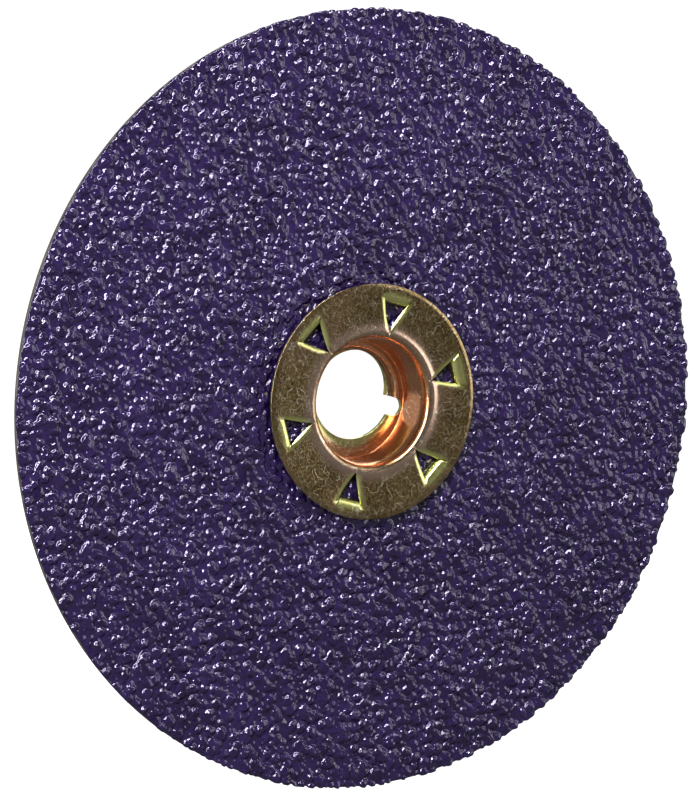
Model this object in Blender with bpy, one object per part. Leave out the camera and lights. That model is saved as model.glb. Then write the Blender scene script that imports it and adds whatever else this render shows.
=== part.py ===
"""Resin-fibre abrasive disc with a stamped screw-on hub, for an angle grinder.

The disc is made of four bonded layers: a vulcanised-fibre backing, a make coat of resin, a coat of
abrasive grain and a size coat of resin over it. A pressed steel hub passes through the arbor hole.
Six triangular tangs, cut and bent out of its flange, pierce the layers and are clinched behind the
backing. The floor of its neck is formed into one turn of a 5/8-11 thread.

Every shape is modelled lying flat, with the axis along Z and the abrasive side up. The empty called
stand turns it upright: the axis runs along Y, the abrasive side faces -Y and +Z is up. The origin is
on the axis, in the plane of the backing's rear face.
"""
import math

import bmesh
import bpy

MM = 0.001

# Layers of the disc, from the rear face at height 0 to the front
DISC_RADIUS = 63.5 * MM
ARBOR_RADIUS = 11.25 * MM
BACKING_THICKNESS = 0.80 * MM
MAKE_COAT_THICKNESS = 0.15 * MM
GRAIN_THICKNESS = 0.80 * MM
SIZE_COAT_THICKNESS = 0.15 * MM
COAT_GAP = 0.05 * MM
EDGE_CHAMFER = 0.10 * MM
DISC_SEGMENTS = 120

# Hub, pressed from one sheet. Its section is the middle of the sheet, as corners of radius, height
# and rounding: rim, foot of the rim, foot of the shoulder, shoulder, foot of the neck, thread
SHEET = 0.75 * MM
HUB_SECTION = (
    (19.15 * MM, 2.82 * MM, 0.0),
    (18.35 * MM, 2.97 * MM, 0.80 * MM),
    (11.75 * MM, 2.58 * MM, 0.50 * MM),
    (10.80 * MM, 3.06 * MM, 0.60 * MM),
    (10.17 * MM, -3.95 * MM, 0.50 * MM),
    (6.68 * MM, -3.95 * MM, 0.0),
)
HUB_SEGMENTS = 72
ARC_STEP = math.radians(24)
HUB_FRONT = 4 * MM
HUB_REAR = -8 * MM

# One turn of right-hand thread in the floor of the neck, broken by a notch. The level is the share
# of the turn that is pressed behind the floor, and the relief draws part of its edge outwards
THREAD_PITCH = 25.4 / 11 * MM
THREAD_ROOT = 9.00 * MM
THREAD_EDGE = 6.90 * MM
THREAD_RINGS = 4
THREAD_LEVEL = 0.85
RELIEF_DEPTH = 1.54 * MM
RELIEF_ANGLE = math.radians(49)
RELIEF_SPREAD = math.radians(63)
NOTCH_ANGLE = math.radians(-12.5)
NOTCH_HALF_WIDTH = 1.55 * MM
NOTCH_END_CENTRE = 8.05 * MM
NOTCH_START = 4 * MM
NOTCH_RAMP = math.radians(9)
NOTCH_ARC_STEPS = 10

# Tangs: triangles cut in the flange, points towards the axis, bent down at their base
TANG_COUNT = 6
TANG_FIRST_ANGLE = math.radians(14.4)
TANG_POINT_RADIUS = 11.35 * MM
TANG_BEND_RADIUS = 17.00 * MM
TANG_ROOT_RADIUS = 17.50 * MM
TANG_HALF_WIDTH = 2.60 * MM
TANG_POINT_WIDTH = 0.08 * MM
TANG_UPPER_BEND = 0.60 * MM
TANG_CLINCH_BEND = 0.50 * MM
TANG_BEND_STEPS = 4
SHEAR_GAP = 0.05 * MM
SLOT_GAP = 0.25 * MM

SHARP_EDGE = math.radians(35)


def remove_everything():
    for thing in list(bpy.data.objects):
        bpy.data.objects.remove(thing, do_unlink=True)


def principled(name, colour, roughness, metallic):
    material = bpy.data.materials.new(name)
    material.use_nodes = True
    shader = material.node_tree.nodes["Principled BSDF"]
    shader.inputs["Base Color"].default_value = (*colour, 1.0)
    shader.inputs["Roughness"].default_value = roughness
    shader.inputs["Metallic"].default_value = metallic
    material.diffuse_color = (*colour, 1.0)
    return material


def fibre_material():
    return principled("vulcanised_fibre", (0.075, 0.070, 0.055), 0.75, 0.0)


def bond_material():
    return principled("make_coat_resin", (0.060, 0.035, 0.110), 0.45, 0.0)


def grain_material():
    return principled("ceramic_grain", (0.045, 0.030, 0.100), 0.55, 0.0)


def size_material():
    return principled("size_coat_resin", (0.035, 0.018, 0.085), 0.18, 0.0)


def plated_material():
    return principled("yellow_zinc_plate", (0.36, 0.27, 0.13), 0.32, 1.0)


def make_stand():
    stand = bpy.data.objects.new("stand", None)
    stand.rotation_euler = (math.radians(90), 0.0, 0.0)
    bpy.context.collection.objects.link(stand)
    return stand


def object_from(name, mesh_builder, stand, material=None):
    """A mesh object on the stand. Without a material it is a tool for a Boolean, not a piece."""
    mesh = bpy.data.meshes.new(name)
    bmesh.ops.recalc_face_normals(mesh_builder, faces=mesh_builder.faces)
    mesh_builder.to_mesh(mesh)
    mesh_builder.free()
    thing = bpy.data.objects.new(name, mesh)
    bpy.context.collection.objects.link(thing)
    thing.parent = stand
    if material:
        mesh.materials.append(material)
        mesh.shade_smooth()
        mesh.set_sharp_from_angle(angle=SHARP_EDGE)
    else:
        thing.hide_render = True
        thing.display_type = "WIRE"
    return thing


def add_boolean(target, tool, operation):
    modifier = target.modifiers.new(tool.name, "BOOLEAN")
    modifier.operation = operation
    modifier.solver = "EXACT"
    modifier.object = tool


def turned(outline, segments):
    """The closed outline of (radius, height) points, spun once about Z."""
    builder = bmesh.new()
    corners = [builder.verts.new((radius, 0.0, height)) for radius, height in outline]
    edges = [builder.edges.new((a, b)) for a, b in zip(corners, corners[1:] + corners[:1])]
    bmesh.ops.spin(
        builder,
        geom=corners + edges,
        cent=(0.0, 0.0, 0.0),
        axis=(0.0, 0.0, 1.0),
        angle=2 * math.pi,
        steps=segments,
        use_merge=True,
        use_duplicate=False,
    )
    bmesh.ops.remove_doubles(builder, verts=builder.verts, dist=1e-6)
    return builder


def add_prism(builder, outline, bottom, top):
    """Extrude a flat outline of (x, y) points from bottom to top."""
    base = builder.faces.new([builder.verts.new((x, y, bottom)) for x, y in outline])
    raised = bmesh.ops.extrude_face_region(builder, geom=[base])["geom"]
    verts = [item for item in raised if isinstance(item, bmesh.types.BMVert)]
    bmesh.ops.translate(builder, verts=verts, vec=(0.0, 0.0, top - bottom))


def turned_about_axis(x, y, angle):
    return (
        x * math.cos(angle) - y * math.sin(angle),
        x * math.sin(angle) + y * math.cos(angle),
    )


def tang_angles():
    return [TANG_FIRST_ANGLE + 2 * math.pi * i / TANG_COUNT for i in range(TANG_COUNT)]


def make_layer(name, bottom, top, material, stand, slots, chamfer=0.0):
    """One layer of the disc: a flat ring with the six slots that the tangs pierce."""
    outline = [
        (ARBOR_RADIUS, bottom),
        (DISC_RADIUS - chamfer, bottom),
        (DISC_RADIUS, bottom + chamfer),
        (DISC_RADIUS, top),
        (ARBOR_RADIUS, top),
    ]
    layer = object_from(name, turned(outline, DISC_SEGMENTS), stand, material)
    add_boolean(layer, slots, "DIFFERENCE")
    return layer


def make_slots(stand):
    """Cutter for the slots: each clears the width and the thickness of a tang."""
    middle = TANG_BEND_RADIUS - TANG_UPPER_BEND
    inner = middle - SHEET / 2 - SLOT_GAP
    outer = middle + SHEET / 2 + SLOT_GAP
    drop = math.pi / 2 * TANG_UPPER_BEND
    half = tang_half_width(drop) + SLOT_GAP
    corners = ((inner, -half), (outer, -half), (outer, half), (inner, half))
    builder = bmesh.new()
    for angle in tang_angles():
        outline = [turned_about_axis(x, y, angle) for x, y in corners]
        add_prism(builder, outline, HUB_REAR, HUB_FRONT)
    return object_from("slot_cutter", builder, stand)


def rounded_path(corners):
    """Points along straight runs whose corners are rounded by arcs tangent to them."""
    points = [corners[0][:2]]
    for before, corner, after in zip(corners, corners[1:], corners[2:]):
        r, z, rounding = corner
        towards_a = math.atan2(before[1] - z, before[0] - r)
        towards_b = math.atan2(after[1] - z, after[0] - r)
        opening = (towards_b - towards_a + math.pi) % (2 * math.pi) - math.pi
        half = abs(opening) / 2
        to_centre = rounding / math.sin(half)
        bisector = towards_a + opening / 2
        centre_r = r + to_centre * math.cos(bisector)
        centre_z = z + to_centre * math.sin(bisector)
        sweep = math.pi - 2 * half
        turn = math.copysign(1.0, opening)
        start = towards_a - turn * math.pi / 2
        steps = max(2, math.ceil(sweep / ARC_STEP))
        for i in range(steps + 1):
            angle = start - turn * sweep * i / steps
            points.append((centre_r + rounding * math.cos(angle), centre_z + rounding * math.sin(angle)))
    points.append(corners[-1][:2])
    return points


def with_thread_rings(points):
    """Add points along the last run, the floor of the neck, for the thread to bend at."""
    end = points[-1][0]
    height = points[-1][1]
    rings = [THREAD_ROOT + (end - THREAD_ROOT) * i / THREAD_RINGS for i in range(THREAD_RINGS)]
    return points[:-1] + [(radius, height) for radius in rings] + [points[-1]]


def sheet_outline(points, thickness):
    """The closed outline of a sheet whose middle runs through the points."""
    sides = ([], [])
    for i, (r, z) in enumerate(points):
        before = points[max(i - 1, 0)]
        after = points[min(i + 1, len(points) - 1)]
        along = math.atan2(after[1] - before[1], after[0] - before[0])
        across_r = -math.sin(along) * thickness / 2
        across_z = math.cos(along) * thickness / 2
        sides[0].append((r + across_r, z + across_z))
        sides[1].append((r - across_r, z - across_z))
    return sides[0] + sides[1][::-1]


def thread_bend(radius):
    """How much of the thread's shape a ring of the floor takes, from 0 at its root to 1."""
    share = (THREAD_ROOT - radius) / (THREAD_ROOT - THREAD_EDGE)
    share = min(max(share, 0.0), 1.0)
    return share * share * (3 - 2 * share)


def thread_lift(angle):
    """How far the edge of the thread stands in front of the flat floor."""
    turn = (angle - NOTCH_ANGLE) % (2 * math.pi)
    span = 2 * math.pi - 2 * NOTCH_RAMP
    if turn < NOTCH_RAMP:
        rise = 0.5 - 0.5 * turn / NOTCH_RAMP
    elif turn > 2 * math.pi - NOTCH_RAMP:
        rise = 0.5 + 0.5 * (2 * math.pi - turn) / NOTCH_RAMP
    else:
        rise = (turn - NOTCH_RAMP) / span
    return THREAD_PITCH * (rise - THREAD_LEVEL)


def thread_relief(angle):
    """How far the edge of the thread is drawn back from its circle."""
    away = (angle - RELIEF_ANGLE + math.pi) % (2 * math.pi) - math.pi
    return RELIEF_DEPTH * math.exp(-((away / RELIEF_SPREAD) ** 2))


def press_thread(builder):
    """Bend the floor of the neck into one turn of thread."""
    for vert in builder.verts:
        if vert.co.z > 0:
            continue
        radius = math.hypot(vert.co.x, vert.co.y)
        angle = math.atan2(vert.co.y, vert.co.x)
        bend = thread_bend(radius)
        moved = radius + thread_relief(angle) * bend
        vert.co.x *= moved / radius
        vert.co.y *= moved / radius
        vert.co.z += thread_lift(angle) * bend


def tang_half_width(distance):
    """Half the width of a tang at a distance from its bend, along the sheet."""
    length = TANG_BEND_RADIUS - TANG_POINT_RADIUS
    return max(TANG_HALF_WIDTH * (1 - distance / length), TANG_POINT_WIDTH)


def flange_height(radius):
    """Height of the middle of the flange between its rim and its shoulder."""
    outer_r, outer_z, _ = HUB_SECTION[1]
    inner_r, inner_z, _ = HUB_SECTION[2]
    return inner_z + (outer_z - inner_z) * (radius - inner_r) / (outer_r - inner_r)


def tang_path():
    """The middle of a tang, as (radius, height, distance from its bend)."""
    top = flange_height(TANG_BEND_RADIUS)
    leg = TANG_BEND_RADIUS - TANG_UPPER_BEND
    angles = [math.pi / 2 * i / TANG_BEND_STEPS for i in range(TANG_BEND_STEPS + 1)]
    path = [(TANG_ROOT_RADIUS, flange_height(TANG_ROOT_RADIUS), 0.0)]
    for angle in angles:
        radius = TANG_BEND_RADIUS - TANG_UPPER_BEND * math.sin(angle)
        height = top - TANG_UPPER_BEND * (1 - math.cos(angle))
        path.append((radius, height, TANG_UPPER_BEND * angle))
    distance = path[-1][2] + path[-1][1]
    for angle in angles:
        radius = leg + TANG_CLINCH_BEND * (1 - math.cos(angle))
        height = -TANG_CLINCH_BEND * math.sin(angle)
        path.append((radius, height, distance + TANG_CLINCH_BEND * angle))
    radius, height, distance = path[-1]
    length = TANG_BEND_RADIUS - TANG_POINT_RADIUS
    path.append((radius + length - distance, height, length))
    return path


def make_tangs(stand):
    """The six tangs as bars that taper to a point, to be joined to the flange."""
    path = tang_path()
    outline = sheet_outline([point[:2] for point in path], SHEET - SHEAR_GAP / 2)
    count = len(path)
    builder = bmesh.new()
    for angle in tang_angles():
        rings = []
        for i, (_, _, distance) in enumerate(path):
            half = tang_half_width(distance) - SHEAR_GAP
            front = outline[i]
            rear = outline[2 * count - 1 - i]
            ring = []
            for (radius, height), side in ((front, -half), (front, half), (rear, half), (rear, -half)):
                x, y = turned_about_axis(radius, side, angle)
                ring.append(builder.verts.new((x, y, height)))
            rings.append(ring)
        for ring, following in zip(rings, rings[1:]):
            for i in range(4):
                j = (i + 1) % 4
                builder.faces.new((ring[i], ring[j], following[j], following[i]))
        builder.faces.new(rings[0])
        builder.faces.new(rings[-1][::-1])
    return object_from("tang_bars", builder, stand)


def make_opening_cutter(stand):
    """Cutter for the six triangular openings that the tangs are bent out of."""
    corners = (
        (TANG_POINT_RADIUS, 0.0),
        (TANG_BEND_RADIUS, TANG_HALF_WIDTH),
        (TANG_BEND_RADIUS, -TANG_HALF_WIDTH),
    )
    builder = bmesh.new()
    for angle in tang_angles():
        outline = [turned_about_axis(x, y, angle) for x, y in corners]
        add_prism(builder, outline, 0.0, HUB_FRONT)
    return object_from("opening_cutter", builder, stand)


def make_notch_cutter(stand):
    """Cutter for the round-ended notch between the two ends of the thread."""
    outline = [(NOTCH_START, -NOTCH_HALF_WIDTH)]
    for i in range(NOTCH_ARC_STEPS + 1):
        angle = -math.pi / 2 + math.pi * i / NOTCH_ARC_STEPS
        x = NOTCH_END_CENTRE + NOTCH_HALF_WIDTH * math.cos(angle)
        outline.append((x, NOTCH_HALF_WIDTH * math.sin(angle)))
    outline.append((NOTCH_START, NOTCH_HALF_WIDTH))
    outline = [turned_about_axis(x, y, NOTCH_ANGLE) for x, y in outline]
    builder = bmesh.new()
    add_prism(builder, outline, HUB_REAR, 0.0)
    return object_from("notch_cutter", builder, stand)


def make_hub(stand):
    middle = with_thread_rings(rounded_path(HUB_SECTION))
    builder = turned(sheet_outline(middle, SHEET), HUB_SEGMENTS)
    press_thread(builder)
    hub = object_from("hub", builder, stand, plated_material())
    add_boolean(hub, make_opening_cutter(stand), "DIFFERENCE")
    add_boolean(hub, make_notch_cutter(stand), "DIFFERENCE")
    add_boolean(hub, make_tangs(stand), "UNION")
    return hub


def make_disc(stand):
    """The four layers, stacked from the rear with a small gap between them."""
    slots = make_slots(stand)
    layers = (
        ("fibre_backing", BACKING_THICKNESS, fibre_material(), EDGE_CHAMFER),
        ("make_coat", MAKE_COAT_THICKNESS, bond_material(), 0.0),
        ("abrasive_grain", GRAIN_THICKNESS, grain_material(), 0.0),
        ("size_coat", SIZE_COAT_THICKNESS, size_material(), 0.0),
    )
    bottom = 0.0
    for name, thickness, material, chamfer in layers:
        make_layer(name, bottom, bottom + thickness, material, stand, slots, chamfer)
        bottom += thickness + COAT_GAP


remove_everything()
stand_empty = make_stand()
make_disc(stand_empty)
make_hub(stand_empty)
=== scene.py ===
"""Looks of the resin-fibre abrasive disc: its coated grain, fibre backing and pressed hub.

Every piece is modelled lying flat, with the axis along Z and the abrasive side up, as in the part's
CAD, and then turned upright: the abrasive side faces -Y. Lengths are in metres.
"""
import math

import bmesh
import bpy
import numpy as np
from mathutils import Matrix, Quaternion, Vector


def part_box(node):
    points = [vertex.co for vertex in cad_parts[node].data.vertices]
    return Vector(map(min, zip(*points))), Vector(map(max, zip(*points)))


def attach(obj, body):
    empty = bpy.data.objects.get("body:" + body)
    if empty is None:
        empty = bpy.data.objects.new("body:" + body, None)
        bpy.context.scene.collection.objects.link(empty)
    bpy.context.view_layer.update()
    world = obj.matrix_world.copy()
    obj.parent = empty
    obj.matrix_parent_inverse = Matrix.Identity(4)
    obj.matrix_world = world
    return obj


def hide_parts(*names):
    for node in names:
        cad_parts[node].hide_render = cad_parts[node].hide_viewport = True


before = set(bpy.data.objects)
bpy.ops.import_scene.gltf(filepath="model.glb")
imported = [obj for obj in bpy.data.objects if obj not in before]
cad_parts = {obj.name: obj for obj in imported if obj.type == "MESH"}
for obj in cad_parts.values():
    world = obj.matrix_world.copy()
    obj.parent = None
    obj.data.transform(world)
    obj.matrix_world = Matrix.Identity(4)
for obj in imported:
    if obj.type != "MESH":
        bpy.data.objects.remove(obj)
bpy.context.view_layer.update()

MM = 0.001
SAME_POINT = 1e-7
FULL_TURN = 2 * math.pi


def flat_range(node):
    """Lowest and highest point of a CAD node along the axis, lying flat."""
    low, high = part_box(node)
    return -high.y, -low.y


DISC_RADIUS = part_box("fibre_backing")[1].x
BACKING_REAR, BACKING_FRONT = flat_range("fibre_backing")
BOND_REAR, BOND_FRONT = flat_range("make_coat")
GRAIN_REAR = flat_range("abrasive_grain")[0]
HUB_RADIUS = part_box("hub")[1].x
ARBOR_RADIUS = 11.25 * MM

# Hub: the middle of the sheet as corners of radius, height and rounding. The neck's mouth is rolled
# softer than in the CAD.
SHEET = 0.75 * MM
HUB_SECTION = (
    (19.15 * MM, 2.82 * MM, 0.0),
    (18.60 * MM, 2.98 * MM, 0.45 * MM),
    (12.35 * MM, 2.61 * MM, 3.40 * MM),
    (11.00 * MM, 2.95 * MM, 0.90 * MM),
    (10.45 * MM, 1.30 * MM, 2.20 * MM),
    (10.17 * MM, -3.95 * MM, 0.50 * MM),
    (6.68 * MM, -3.95 * MM, 0.0),
)
FLANGE_EDGE = HUB_SECTION[1]
FLANGE_FOOT = HUB_SECTION[2]
THREAD_PITCH = 25.4 / 11 * MM
THREAD_ROOT = 9.00 * MM
THREAD_EDGE = 6.90 * MM
THREAD_LEVEL = 0.85
RELIEF_DEPTH = 1.54 * MM
RELIEF_ANGLE = math.radians(49)
RELIEF_SPREAD = math.radians(63)
NOTCH_ANGLE = math.radians(-12.5)
NOTCH_HALF_WIDTH = 1.55 * MM
NOTCH_END_CENTRE = 8.05 * MM
NOTCH_RAMP = math.radians(9)
TANG_COUNT = 6
SECTOR = FULL_TURN / TANG_COUNT
TANG_FIRST_ANGLE = math.radians(14.4)
TANG_POINT_RADIUS = 11.35 * MM
TANG_BEND_RADIUS = 17.55 * MM
TANG_LEG_RADIUS = 16.40 * MM
TANG_HALF_WIDTH = 2.85 * MM
TANG_POINT_WIDTH = 0.08 * MM
TANG_UPPER_BEND = TANG_BEND_RADIUS - TANG_LEG_RADIUS
TANG_CLINCH_BEND = 0.50 * MM
TANG_TEAR = 0.10 * MM


# ---------------------------------------------------------------- helpers


def upright(points):
    """Points lying flat, turned upright: the axis goes from Z to -Y."""
    x, y, z = np.asarray(points, float).T
    return np.column_stack((x, -z, y))


def mesh_piece(name, points, faces, materials, nodes, smooth_angle=None):
    """A piece on the root body, made of points lying flat, standing for the CAD nodes."""
    mesh = bpy.data.meshes.new(name)
    mesh.from_pydata(upright(points).tolist(), [], faces)
    piece = bpy.data.objects.new(name, mesh)
    bpy.context.collection.objects.link(piece)
    for material in materials:
        mesh.materials.append(material)
    mesh.shade_smooth()
    if smooth_angle:
        mesh.set_sharp_from_angle(angle=smooth_angle)
    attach(piece, "root")
    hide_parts(*nodes)
    return piece


def paint(piece, name, values):
    """Give each point of a piece's mesh a number for its material to read."""
    layer = piece.data.attributes.new(name, "FLOAT", "POINT")
    layer.data.foreach_set("value", values)


def apply_modifiers(piece):
    """Replace a piece's mesh with what its modifiers make of it."""
    depsgraph = bpy.context.evaluated_depsgraph_get()
    baked = bpy.data.meshes.new_from_object(piece.evaluated_get(depsgraph))
    piece.modifiers.clear()
    piece.data = baked


def smoothstep(low, high, value):
    """0 below low and 1 above high, with a smooth rise between them."""
    share = np.clip((value - low) / (high - low), 0.0, 1.0)
    return share * share * (3 - 2 * share)


# ---------------------------------------------------------------- node materials


class Nodes:
    """A short way to write a material's node tree."""

    def __init__(self, name):
        self.material = bpy.data.materials.new(name)
        self.material.use_nodes = True
        self.tree = self.material.node_tree
        self.shader = self.tree.nodes["Principled BSDF"]

    def add(self, kind, operation=None, **sockets):
        node = self.tree.nodes.new("ShaderNode" + kind)
        if operation:
            node.operation = operation
        for key, value in sockets.items():
            self.set(node.inputs[key.replace("_", " ")], value)
        return node

    def set(self, socket, value):
        if isinstance(value, bpy.types.NodeSocket):
            self.tree.links.new(value, socket)
        else:
            socket.default_value = value

    def math(self, operation, *values):
        node = self.tree.nodes.new("ShaderNodeMath")
        node.operation = operation
        for socket, value in zip(node.inputs, values):
            self.set(socket, value)
        return node.outputs[0]

    def noise(self, place, scale, detail=2.0, rough=0.5, warp=0.0):
        node = self.add("TexNoise", Vector=place, Scale=scale, Detail=detail, Roughness=rough)
        node.inputs["Distortion"].default_value = warp
        return node.outputs["Fac"]

    def ramp(self, value, low, high, start=0.0, end=1.0):
        node = self.add("MapRange")
        for key, number in (("Value", value), ("From Min", low), ("From Max", high),
                            ("To Min", start), ("To Max", end)):
            self.set(node.inputs[key], number)
        return node.outputs["Result"]

    def mix(self, share, first, second):
        node = self.tree.nodes.new("ShaderNodeMix")
        node.data_type = "RGBA"
        self.set(node.inputs["Factor"], share)
        for socket, value in ((node.inputs[6], first), (node.inputs[7], second)):
            self.set(socket, (*value, 1.0) if isinstance(value, tuple) else value)
        return node.outputs[2]

    def blend(self, first, second, share):
        """A mean of two values, with this share of it from the second."""
        first = self.math("MULTIPLY", first, 1 - share)
        return self.math("ADD", first, self.math("MULTIPLY", second, share))

    def bump(self, height, distance, strength=1.0, normal=None):
        node = self.add("Bump", Height=height, Distance=distance, Strength=strength)
        if normal:
            self.set(node.inputs["Normal"], normal)
        return node.outputs["Normal"]

    def painted(self, name):
        """A number painted on the mesh's points."""
        node = self.add("Attribute")
        node.attribute_name = name
        return node.outputs["Fac"]

    def place(self):
        return self.add("TexCoord").outputs["Object"]

    def finish(self, colour, roughness, normal, metallic=0.0):
        """Join the textures to the shader and return the material."""
        self.set(self.shader.inputs["Base Color"], colour)
        self.set(self.shader.inputs["Roughness"], roughness)
        if normal:
            self.set(self.shader.inputs["Normal"], normal)
        self.shader.inputs["Metallic"].default_value = metallic
        return self.material


RESIN_COLOURS = (0.0065, 0.0021, 0.021), (0.0145, 0.0062, 0.045)
RESIN_SPECULAR_TINT = (0.86, 0.80, 1.0, 1.0)
RESIN_IOR = 1.65
BOND_COLOURS = (0.020, 0.012, 0.045), (0.055, 0.035, 0.085)
FIBRE_COLOURS = (0.032, 0.029, 0.024), (0.100, 0.091, 0.072)
PLATE_COLOURS = (0.115, 0.074, 0.024), (0.37, 0.262, 0.125)
PLATE_BLUSH = (0.36, 0.21, 0.13)
# Painted highlight: a paler band round the neck's foot.
PLATE_FOOT_HIGHLIGHT = (0.74, 0.52, 0.42)
# Coppery colour in the neck: partly the plating's own film, partly painted reflection of the neck's walls
# in each other.
PLATE_COPPER_REFLECTION = (0.62, 0.27, 0.13)
# Greenish-yellow painted highlight on the bends, the rolled edges and the thread's lip.
PLATE_GREEN_HIGHLIGHT = (0.84, 0.88, 0.30)
PLATE_SCRATCH = (0.88, 0.82, 0.66)
SHEARED_COLOURS = (0.36, 0.38, 0.11), (0.56, 0.60, 0.27)


def resin_material():
    """Size coat: glossy blue-purple resin over the grain, less smooth where the grain stands up."""
    n = Nodes("size_coat_resin")
    place = n.place()
    share = n.blend(n.noise(place, 420.0, 3.0), n.noise(place, 60.0, 2.0), 0.3)
    colour = n.mix(n.ramp(share, 0.38, 0.62), *RESIN_COLOURS)
    roughness = n.ramp(n.noise(place, 900.0, 2.0), 0.35, 0.65, 0.03, 0.10)
    fine = n.bump(n.noise(place, 2400.0, 1.0, 0.4), 0.00014, n.painted("stand"))
    n.shader.inputs["IOR"].default_value = RESIN_IOR
    n.shader.inputs["Specular Tint"].default_value = RESIN_SPECULAR_TINT
    return n.finish(colour, roughness, n.bump(n.noise(place, 500.0, 1.0, 0.4), 0.00006, 1.0, fine))


def bond_material():
    """Make coat: the resin film under the grain, seen only at its edge."""
    n = Nodes("make_coat_resin")
    place = n.place()
    colour = n.mix(n.noise(place, 500.0, 3.0), *BOND_COLOURS)
    roughness = n.ramp(n.noise(place, 800.0), 0.3, 0.7, 0.3, 0.55)
    return n.finish(colour, roughness, n.bump(n.noise(place, 1500.0, 3.0), 0.00008))


def fibre_material():
    """Vulcanised fibre: dense dark paper board with a faint weave from the felt it dried on."""
    n = Nodes("vulcanised_fibre")
    place = n.place()
    mottle = n.noise(place, 260.0, 6.0, 0.65)
    fibres = n.noise(place, 1900.0, 4.0, 0.6, 1.2)
    colour = n.mix(n.ramp(n.blend(mottle, fibres, 0.4), 0.38, 0.62), *FIBRE_COLOURS)
    felt = n.bump(n.noise(place, 700.0, 2.0), 0.00010)
    return n.finish(colour, n.ramp(mottle, 0.3, 0.7, 0.42, 0.68), n.bump(fibres, 0.00007, 1.0, felt))


def hairlines(n, place, scale, width):
    """Fine curly scratches: the lines where a noise passes its middle value."""
    away = n.math("ABSOLUTE", n.math("SUBTRACT", n.noise(place, scale, 1.0, 0.4, 0.6), 0.5))
    return n.ramp(away, 0.0, width, 1.0, 0.0)


def scratches(n, place):
    """Patches of long scratches over an even cover of short, fainter ones."""
    patches = n.ramp(n.noise(place, 300.0), 0.40, 0.55)
    long_ones = n.math("MULTIPLY", hairlines(n, place, 560.0, 0.012), patches)
    short_ones = n.math("MULTIPLY", hairlines(n, place, 1100.0, 0.016), 0.6)
    return n.math("MAXIMUM", long_ones, short_ones)


def plate_colour(n, place, speckle):
    """The plating's film: olive and mottled, with its own coppery tint where the sheet was drawn, and
    painted light over it: coppery painted reflection in the neck, a paler painted highlight round its foot,
    and greenish-yellow painted highlights where the sheet was bent or rolled.
    """
    share = n.blend(speckle, n.noise(place, 190.0, 4.0, 0.6), 0.35)
    colour = n.mix(n.ramp(share, 0.38, 0.62), *PLATE_COLOURS)
    colour = n.mix(n.ramp(n.noise(place, 110.0, 2.0), 0.5, 0.68, 0.0, 0.45), colour, PLATE_BLUSH)
    # Paler painted highlight round the neck's foot.
    colour = n.mix(n.painted("foot_highlight"), colour, PLATE_FOOT_HIGHLIGHT)
    # Coppery painted reflection in the neck, over the film's own tint there.
    colour = n.mix(n.painted("copper_reflection"), colour, PLATE_COPPER_REFLECTION)
    # Greenish-yellow painted highlights on the bends, the rolled edges and the thread's lip.
    return n.mix(n.painted("green_highlight"), colour, PLATE_GREEN_HIGHLIGHT)


def plate_material():
    """Yellow zinc-chromate plating: a mottled film, with fine scratches from the tumbling barrel."""
    n = Nodes("yellow_zinc_plate")
    place = n.place()
    speckle = n.noise(place, 2600.0, 3.0, 0.7)
    scratch = scratches(n, place)
    colour = n.mix(n.math("MULTIPLY", scratch, 0.85), plate_colour(n, place, speckle), PLATE_SCRATCH)
    # Less fine bump where the coppery painted reflection lies in the neck.
    flat = n.math("SUBTRACT", 1.0, n.math("MULTIPLY", n.painted("copper_reflection"), 0.9))
    fine = n.bump(n.noise(place, 3200.0, 4.0, 0.6), 0.000018, flat)
    roughness = n.ramp(speckle, 0.3, 0.7, 0.15, 0.27)
    return n.finish(colour, roughness, n.bump(scratch, 0.000003, flat, fine), 1.0)


def sheared_material():
    """Sheared edges of the hub: the same plating over a brighter, burnished cut."""
    n = Nodes("yellow_zinc_plate_sheared")
    place = n.place()
    colour = n.mix(n.ramp(n.noise(place, 1500.0, 3.0), 0.35, 0.65), *SHEARED_COLOURS)
    return n.finish(colour, n.ramp(n.noise(place, 2500.0), 0.3, 0.7, 0.22, 0.42), None, 1.0)


# ---------------------------------------------------------------- rings joined into a sheet


def join_rings(counts):
    """Triangles between neighbouring closed rings of vertices, each ring counted from angle 0."""
    starts = np.concatenate(([0], np.cumsum(counts)[:-1]))
    triangles = []
    for (start_a, a), (start_b, b) in zip(zip(starts, counts), zip(starts[1:], counts[1:])):
        keys = np.concatenate(((np.arange(a) + 0.5) / a, (np.arange(b) + 0.5) / b))
        steps_a = np.argsort(keys, kind="stable") < a
        i = np.cumsum(steps_a) - steps_a
        j = np.cumsum(~steps_a) - ~steps_a
        here_a = start_a + i % a
        here_b = start_b + j % b
        ahead = np.where(steps_a, start_a + (i + 1) % a, start_b + (j + 1) % b)
        triangles.append(np.column_stack((here_a, here_b, ahead)))
    return np.concatenate(triangles)


# ---------------------------------------------------------------- abrasive coat

GRAIN_SPACING = 1.14 * MM
GRAIN_SEED = 7
GRAIN_JITTER = 0.42
GRAIN_MARGIN = 2 * MM
HEXAGON_ACROSS = 1.075
HEXAGON_ALONG = 0.931
GRAIN_SIZE = (0.28 * MM, 0.98 * MM)
GRAIN_TOP_LIMIT = 0.52 * MM
COAT_STEP = 0.17 * MM
BATCHES = 24
BED_HEIGHT = 1.25 * MM
STAND_RANGE = (BED_HEIGHT + 0.14 * MM, BED_HEIGHT + 0.32 * MM)
FLANGE_CLEARANCE = 0.05 * MM
RIM_OVERHANG = 0.75
RIM_OVERHANG_START = 0.08 * MM
RIM_OVERHANG_LIMIT = 0.30 * MM
RIM_OVERHANG_WIDTH = 0.8 * MM
RIM_DROP = 0.30
RIM_DROP_WIDTH = 0.35 * MM
RIM_BELLY = 0.45


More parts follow.
